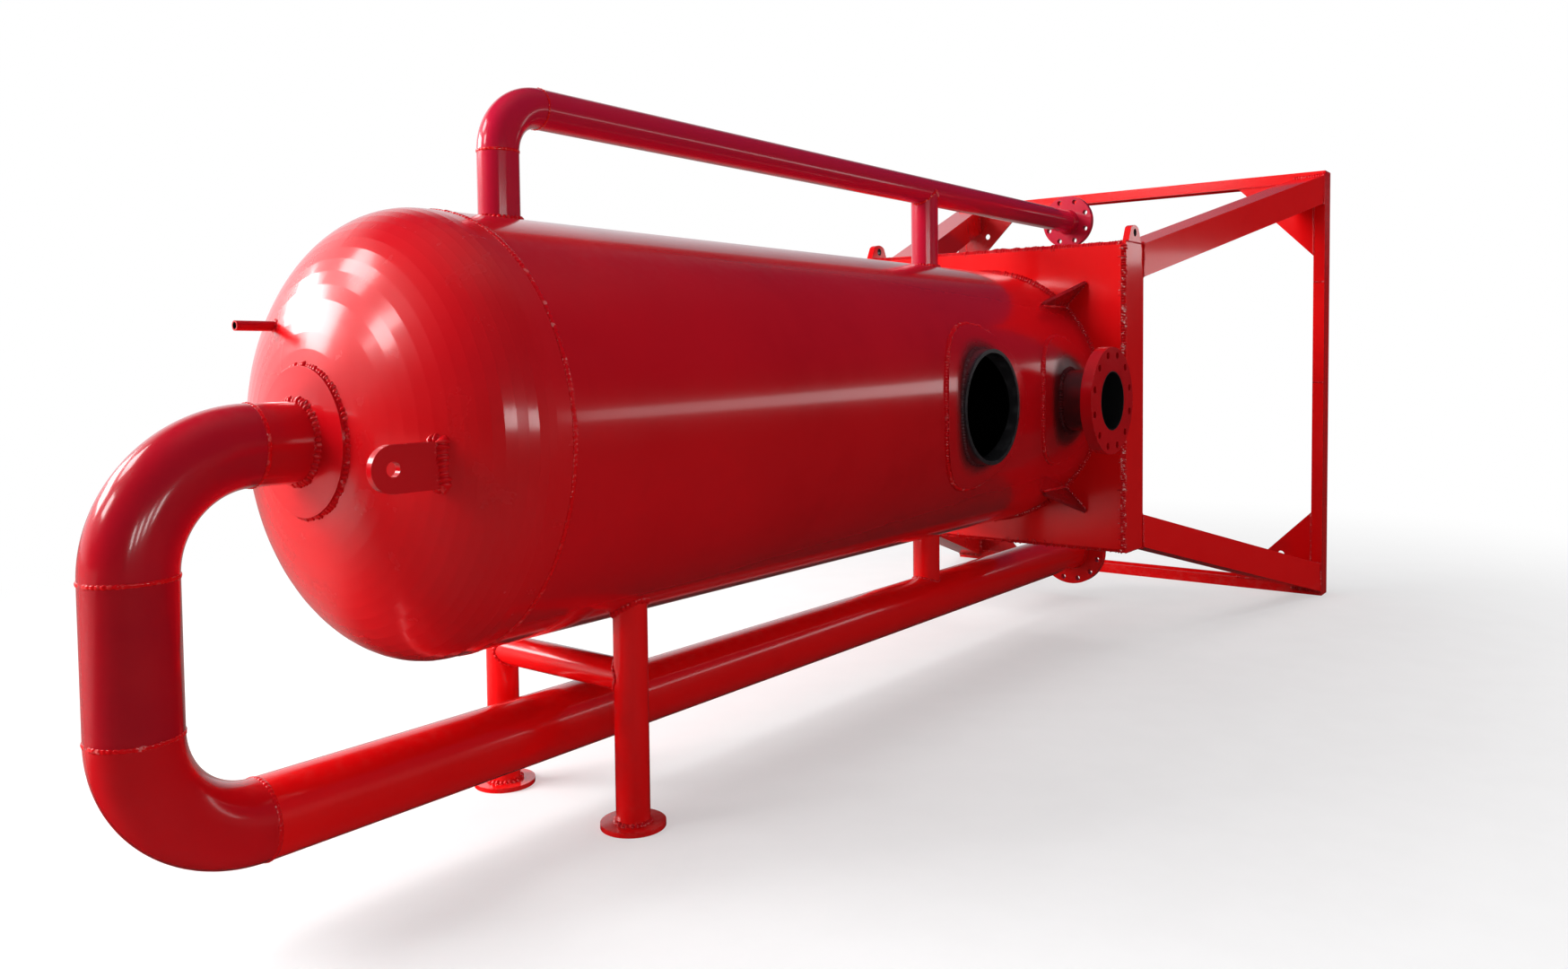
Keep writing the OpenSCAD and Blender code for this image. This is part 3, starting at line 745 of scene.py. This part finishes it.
def vessel_welds(paint):
    """Seams of the shell, the head and what stands on the head."""
    gas_r = radius_of("gas_line", X)
    pad_r = radius_of("gas_pad", X)
    nipple = middle("head_nipple")
    nipple_r = radius_of("head_nipple", X)
    add_welds("weld_head_seam", [(ring((SEAM_X, 0, AXIS_Z), X, VESSEL_R), SEAM_BEAD)], paint)
    add_welds("weld_deck_seam", [(ring((DECK_X, 0, AXIS_Z), X, VESSEL_R, lean=-1.0), BIG_FILLET)], paint)
    add_welds("weld_gas_pad", [(head_ring(0.0, AXIS_Z, pad_r), FILLET)], paint)
    add_welds("weld_gas_stub", [(head_ring(0.0, AXIS_Z, gas_r, PAD_T), BIG_FILLET)], paint)
    add_welds("weld_nipple", [(head_ring(nipple.y, nipple.z, nipple_r), SMALL_FILLET)], paint)
    for side in ("near", "far"):
        foot = lug_on_head(*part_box(f"head_lug_{side}"))
        add_welds(f"weld_head_lug_{side}", [(foot, LUG_FILLET)], paint)


def pipe_welds(paint):
    """Butt welds and saddles of the gas line and the inlet line."""
    gas_r = radius_of("gas_line", X)
    inlet_r = radius_of("inlet_line", X)
    gas_low, gas_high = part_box("gas_line")
    gas_z = middle("gas_line").z
    drop_low, drop_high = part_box("gas_drop_pipe")
    drop_x = middle("gas_drop_pipe").x
    line_low, line_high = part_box("inlet_line")
    line_z = middle("inlet_line").z
    riser_x = middle("inlet_riser").x
    stay_x = middle("inlet_stay").x
    add_welds("weld_gas_elbows", [
        (ring((gas_low.x, 0, AXIS_Z), X, gas_r), BUTT),
        (ring((drop_x, 0, drop_high.z), Z, gas_r), BUTT),
        (ring((drop_x, 0, drop_low.z), Z, gas_r), BUTT),
        (ring((gas_low.x, 0, gas_z), X, gas_r), BUTT)], paint)
    add_welds("weld_gas_flange", [(ring((gas_high.x, 0, gas_z), X, gas_r), BUTT)], paint)
    add_welds("weld_inlet_elbow", [
        (ring((riser_x, 0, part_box("inlet_riser")[1].z), Z, inlet_r), SMALL_BUTT),
        (ring((line_low.x, 0, line_z), X, inlet_r), SMALL_BUTT)], paint)
    add_welds("weld_inlet_flange", [(ring((line_high.x, 0, line_z), X, inlet_r), SMALL_BUTT)], paint)
    add_welds("weld_riser", [(upright_saddle(riser_x, 0.0, inlet_r, VESSEL_R, AXIS_Z, 1), FILLET)], paint)
    add_welds("weld_stays", [
        (upright_saddle(stay_x, 0.0, inlet_r, VESSEL_R, AXIS_Z, 1), FILLET),
        (upright_saddle(stay_x, 0.0, inlet_r, inlet_r, line_z, -1), SMALL_FILLET),
        (upright_saddle(stay_x, 0.0, inlet_r, VESSEL_R, AXIS_Z, -1), FILLET),
        (upright_saddle(stay_x, 0.0, inlet_r, gas_r, gas_z, 1), SMALL_FILLET)], paint)


def opening_welds(paint):
    """Welds round the manway and the mud outlet."""
    pad_face = VESSEL_R + PAD_T
    manway_x = middle("manway_neck").x
    manway_edge = side_saddle(manway_x, radius_of("manway_pad", Y), VESSEL_R)
    manway_root = side_saddle(manway_x, radius_of("manway_neck", Y), pad_face)
    outlet_x = middle("outlet_neck").x
    outlet_r = radius_of("outlet_neck", Y)
    outlet_edge = side_saddle(outlet_x, radius_of("outlet_pad", Y), VESSEL_R)
    outlet_root = side_saddle(outlet_x, outlet_r, pad_face)
    outlet_end = ring((outlet_x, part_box("outlet_neck")[0].y, AXIS_Z), Y, outlet_r)
    black = black_enamel("black_weld", outside_of_neck)
    # Weld paint darkened by the painted shadow round the mud outlet
    burnt = weld_enamel("red_burnt_weld", burn=outlet_burn)
    add_welds("weld_manway_pad", [(manway_edge, FILLET)], paint)
    add_welds("weld_manway_neck", [(manway_root, FILLET)], black)
    add_welds("weld_outlet_pad", [(outlet_edge, FILLET)], paint)
    add_welds("weld_outlet_neck", [(outlet_root, BIG_FILLET), (outlet_end, BUTT)], burnt)


def rib_beads():
    """Beads along the feet of the four ribs of the deck, on both their faces."""
    rib_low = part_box("deck_ribs")[0]
    rib_top = (AXIS_Z - rib_low.z) * math.sqrt(2.0)
    at_tip = np.array([rib_low.x, 0.0, AXIS_Z])
    at_deck = np.array([DECK_X, 0.0, AXIS_Z])
    front = np.array([-1.0, 0.0, 0.0])
    beads = []
    for number in range(4):
        turn = math.radians(45.0 + 90.0 * number)
        out = np.array([0.0, math.cos(turn), math.sin(turn)])
        for sign in (-1, 1):
            side = sign * np.array([0.0, -math.sin(turn), math.cos(turn)])
            foot = out * VESSEL_R + side * RIB_T / 2
            tip = out * (rib_top - RIB_TIP) + side * RIB_T / 2
            beads.append((run([at_tip + foot, at_deck + foot], out + side), SMALL_FILLET))
            beads.append((run([at_deck + foot, at_deck + tip], side + front), SMALL_FILLET))
    return beads


def deck_welds(paint):
    """Welds of the deck plate, its channels, ribs and lugs."""
    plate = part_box("deck_plate")[1]
    edge_places = [(y * plate.y, AXIS_Z + z * plate.y) for y, z in ((-1, -1), (1, -1), (1, 1), (-1, 1))]
    plate_edge = loop_in_plane([(plate.x, *place) for place in edge_places], (-1, 0, 0))
    # Painted light and painted glints, the glints along the near upright edge of the deck plate
    edge_paint = weld_enamel("red_edge_weld", fresh=PAINTED_LIGHT_WELD, gloss=0.5, chips=near_chips)
    add_welds("weld_deck_plate", [(plate_edge, EDGE_FILLET)], edge_paint)
    ring_low, ring_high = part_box("deck_channel_top")
    mitres = []
    for y in (-1, 1):
        for z in (-1, 1):
            corner = (y * ring_high.y, AXIS_Z + z * ring_high.y)
            mitres.append((run([(ring_low.x, *corner), (ring_high.x, *corner)], (0, y, z)), SMALL_BUTT))
    add_welds("weld_deck_corners", mitres, paint)
    add_welds("weld_deck_ribs", rib_beads(), paint)
    lug_low, lug_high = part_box("deck_lugs")
    lugs = []
    for y in (-1, 1):
        inner = y * (lug_high.y - LUG_T)
        foot = [(lug_low.x, inner, lug_low.z), (lug_high.x, inner, lug_low.z)]
        lugs.append((run(foot, (0.0, -y, 1.0)), SMALL_FILLET))
    add_welds("weld_deck_lugs", lugs, paint)


def frame_welds(paint):
    """Welds of the splayed legs, the base frame and its gussets."""
    deck_ends, base_ends = [], []
    for name in [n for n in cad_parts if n.startswith("leg_")]:
        low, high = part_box(name)
        deck_ends.append((loop_in_plane(end_corners(name, low.x), (1, 0, 0)), FILLET))
        base_ends.append((loop_in_plane(end_corners(name, high.x), (-1, 0, 0)), FILLET))
    add_welds("weld_legs_at_deck", deck_ends, paint)
    add_welds("weld_legs_at_base", base_ends, paint)
    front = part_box("base_channel_near")[0].x
    forward = (-1, 0, 0)
    gusset_low, gusset_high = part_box("base_gussets")
    base_low, base_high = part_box("base_channel_top")
    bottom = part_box("base_channel_bottom")[0].z
    seams, mitres = [], []
    for y, y_in, y_out in ((-1, gusset_low.y, base_low.y), (1, gusset_high.y, base_high.y)):
        for z, z_in, z_out in ((-1, gusset_low.z, bottom), (1, gusset_high.z, base_high.z)):
            inner = (front, y_in, z_in)
            outer = (front, y_out - y * MITRE_INSET, z_out - z * MITRE_INSET)
            beside = (front, y_in - y * GUSSET_REACH, z_in)
            upright = (front, y_in, z_in - z * GUSSET_REACH)
            seams.append((run([beside, inner, upright], forward), SMALL_BUTT))
            mitres.append((run([inner, outer], forward), SMALL_BUTT))
    splices = []
    for z in SPLICE_HEIGHTS:
        across = [(front, base_low.y + SPLICE_INSET, z), (front, gusset_low.y, z)]
        splices.append((run(across, forward), BUTT))
    add_welds("weld_gussets", seams, paint)
    add_welds("weld_post_splices", splices, paint)
    add_welds("weld_base_corners", mitres, paint)


def prop_welds(paint):
    """Welds of the two transport legs, the pipe between them and their feet."""
    prop_r = radius_of("prop_near", Z)
    tie_r = radius_of("prop_tie", Y)
    tie = middle("prop_tie")
    beads = []
    for side in ("near", "far"):
        at = middle(f"prop_{side}")
        foot_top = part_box(f"foot_{side}")[1].z
        beads.append((upright_saddle(at.x, at.y, prop_r, VESSEL_R, AXIS_Z, -1), FILLET))
        beads.append((ring((at.x, at.y, foot_top), Z, prop_r, lean=1.0), FILLET))
        beads.append((tie_saddle(tie, tie_r, at, prop_r), SMALL_FILLET))
    add_welds("weld_transport_legs", beads, paint)


# Stage

def area_light(name, at, target, size, power, mirrored):
    """Soft rectangular light, seen in reflections only where that is asked for."""
    lamp = bpy.data.lights.new(name, "AREA")
    lamp.shape = "RECTANGLE"
    lamp.size, lamp.size_y = size
    lamp.energy = power
    holder = bpy.data.objects.new(name, lamp)
    holder.location = at
    holder.rotation_euler = (Vector(target) - Vector(at)).to_track_quat("-Z", "Y").to_euler()
    holder.visible_glossy = mirrored
    bpy.context.scene.collection.objects.link(holder)


def window(name, target, azimuth, elevation, size, power):
    """Mirrored light that a place on the object sees in a direction given in degrees."""
    a, e = math.radians(azimuth), math.radians(elevation)
    way = Vector((math.cos(e) * math.cos(a), math.cos(e) * math.sin(a), math.sin(e)))
    area_light(name, Vector(target) + WINDOW_AWAY * way, target, size, power, True)


def make_lights():
    """Plain soft light from the upper left, with windows that the paint mirrors."""
    area_light("key", (-6.9, 5.1, 5.0), MIDDLE_AIM, (5.0, 5.0), 1050.0, False)
    area_light("top", (0.0, 0.5, 6.5), MIDDLE_AIM, (8.0, 5.0), 195.0, False)
    area_light("near_fill", (3.0, -8.0, 1.6), MIDDLE_AIM, (6.0, 3.0), 115.0, False)
    area_light("far_bounce", (-3.6, 1.6, 0.15), HEAD_LOW_AIM, (1.2, 0.8), 60.0, False)
    area_light("window_band", (2.15, -2.86, 1.47), SIDE_AIM, (2.7, 0.33), 4.6, True)
    area_light("window_post", (5.6, -2.4, 2.1), POST_AIM, (0.5, 0.5), 1.2, True)
    window("window_low", HEAD_AIM, 112, 19, (4.6, 1.6), 200.0)
    window("window_high", HEAD_AIM, 122, 37, (2.6, 1.5), 80.0)
    window("window_side", HEAD_AIM, 152, 25, (1.4, 1.6), 70.0)
    for number, azimuth in enumerate(BAR_AZIMUTHS):
        window(f"window_bar_{number}", SIDE_AIM, azimuth, BAR_ELEVATION, (0.5, 1.2), 18.0)


def make_world():
    """White behind the object and on the far side in reflections, a pale grey fill elsewhere."""
    world = bpy.data.worlds.new("studio")
    bpy.context.scene.world = world
    world.use_nodes = True
    tree = world.node_tree
    tree.nodes.clear()
    out = add_node(tree, "ShaderNodeOutputWorld")
    rays = add_node(tree, "ShaderNodeLightPath").outputs
    way = add_node(tree, "ShaderNodeTexCoord").outputs["Generated"]
    high = part_of(tree, way, Z)
    far = ramp(tree, vector(tree, "DOT_PRODUCT", way, OPEN_SIDE), 0.30, 0.85)
    open_side = calc(tree, "MULTIPLY", far, ramp(tree, high, 0.75, 0.45))
    mirrored = calc(tree, "MAXIMUM", rays["Is Glossy Ray"], rays["Is Transmission Ray"])
    room = mix(tree, ramp(tree, high, 0.0, 0.5), ROOM_MIRRORED, ROOF_MIRRORED)
    room = mix(tree, open_side, room, SIDE_MIRRORED)
    colour = mix(tree, rays["Is Camera Ray"], mix(tree, mirrored, ROOM_FILL, room), WHITE)
    light = add_node(tree, "ShaderNodeBackground", {"Color": colour, "Strength": 1.0})
    tree.links.new(light.outputs[0], out.inputs[0])


def floor_material():
    """Pale floor that keeps the shadow, fades to white far off and is darker in reflections."""
    made, tree, shader, at = new_material("floor_pale")
    shader.inputs["Roughness"].default_value = 0.9
    shader.inputs["Specular IOR Level"].default_value = 0.1
    rays = add_node(tree, "ShaderNodeLightPath").outputs
    seen = rays["Is Camera Ray"]
    grain = ramp(tree, cloud(tree, at, 6.0, 4.0), 0.3, 0.7, 0.0, 0.06)
    pale = mix(tree, grain, FLOOR_PALE, FLOOR_BOUNCE)
    tree.links.new(mix(tree, seen, FLOOR_BOUNCE, pale), shader.inputs["Base Color"])
    away = vector(tree, "LENGTH", vector(tree, "MULTIPLY", at, FLOOR_FADE_SQUASH))
    fade = calc(tree, "MULTIPLY", seen, ramp(tree, away, *FLOOR_FADE, 0.45, 1.0))
    shade = mix(tree, ramp(tree, part_of(tree, at, Y), *FLOOR_SHADE), FLOOR_DARK, FLOOR_MIRRORED)
    white = add_node(tree, "ShaderNodeEmission", {"Color": WHITE, "Strength": 1.0}).outputs[0]
    dim = add_node(tree, "ShaderNodeEmission", {"Color": shade, "Strength": 1.0}).outputs[0]
    near = add_node(tree, "ShaderNodeMixShader", {0: fade, 1: shader.outputs[0], 2: white}).outputs[0]
    final = add_node(tree, "ShaderNodeMixShader", {0: rays["Is Glossy Ray"], 1: near, 2: dim}).outputs[0]
    out = next(n for n in tree.nodes if n.type == "OUTPUT_MATERIAL")
    tree.links.new(final, out.inputs[0])
    return made


def make_floor():
    """Wide square floor under the object."""
    mesh = bpy.data.meshes.new("floor")
    corners = [(x * FLOOR_HALF, y * FLOOR_HALF, 0) for x, y in ((-1, -1), (1, -1), (1, 1), (-1, 1))]
    mesh.from_pydata(corners, [], [(0, 1, 2, 3)])
    mesh.materials.append(floor_material())
    floor = bpy.data.objects.new("floor", mesh)
    floor.location.z = -FLOOR_DROP
    bpy.context.scene.collection.objects.link(floor)


def make_camera():
    """Camera at the photograph's place, with its lens and its horizon."""
    lens = bpy.data.cameras.new("camera")
    lens.sensor_fit = "HORIZONTAL"
    lens.sensor_width = SENSOR_MM
    lens.lens = FOCAL_PX / PHOTO_W * SENSOR_MM
    lens.shift_y = (HORIZON_PX - PHOTO_H / 2) / PHOTO_W
    lens.clip_end = VIEW_END
    holder = bpy.data.objects.new("camera", lens)
    right = CAMERA_FORWARD.cross(CAMERA_UP).normalized()
    up = right.cross(CAMERA_FORWARD).normalized()
    turn = Matrix((right, up, -CAMERA_FORWARD.normalized())).transposed()
    holder.matrix_world = Matrix.Translation(CAMERA_AT) @ turn.to_4x4()
    bpy.context.scene.collection.objects.link(holder)
    bpy.context.scene.camera = holder


bpy.context.scene.view_settings.view_transform = "Standard"
make_camera()
make_world()
make_floor()
make_lights()
dress_nodes()
# Weld paint with a little painted light and pale specks of painted glints
weld_paint = weld_enamel("red_weld", fresh=PAINTED_LIGHT_WELD, gloss=0.5, chips=few_chips)
vessel_welds(weld_paint)
pipe_welds(weld_paint)
opening_welds(weld_paint)
deck_welds(weld_paint)
frame_welds(weld_paint)
prop_welds(weld_paint)
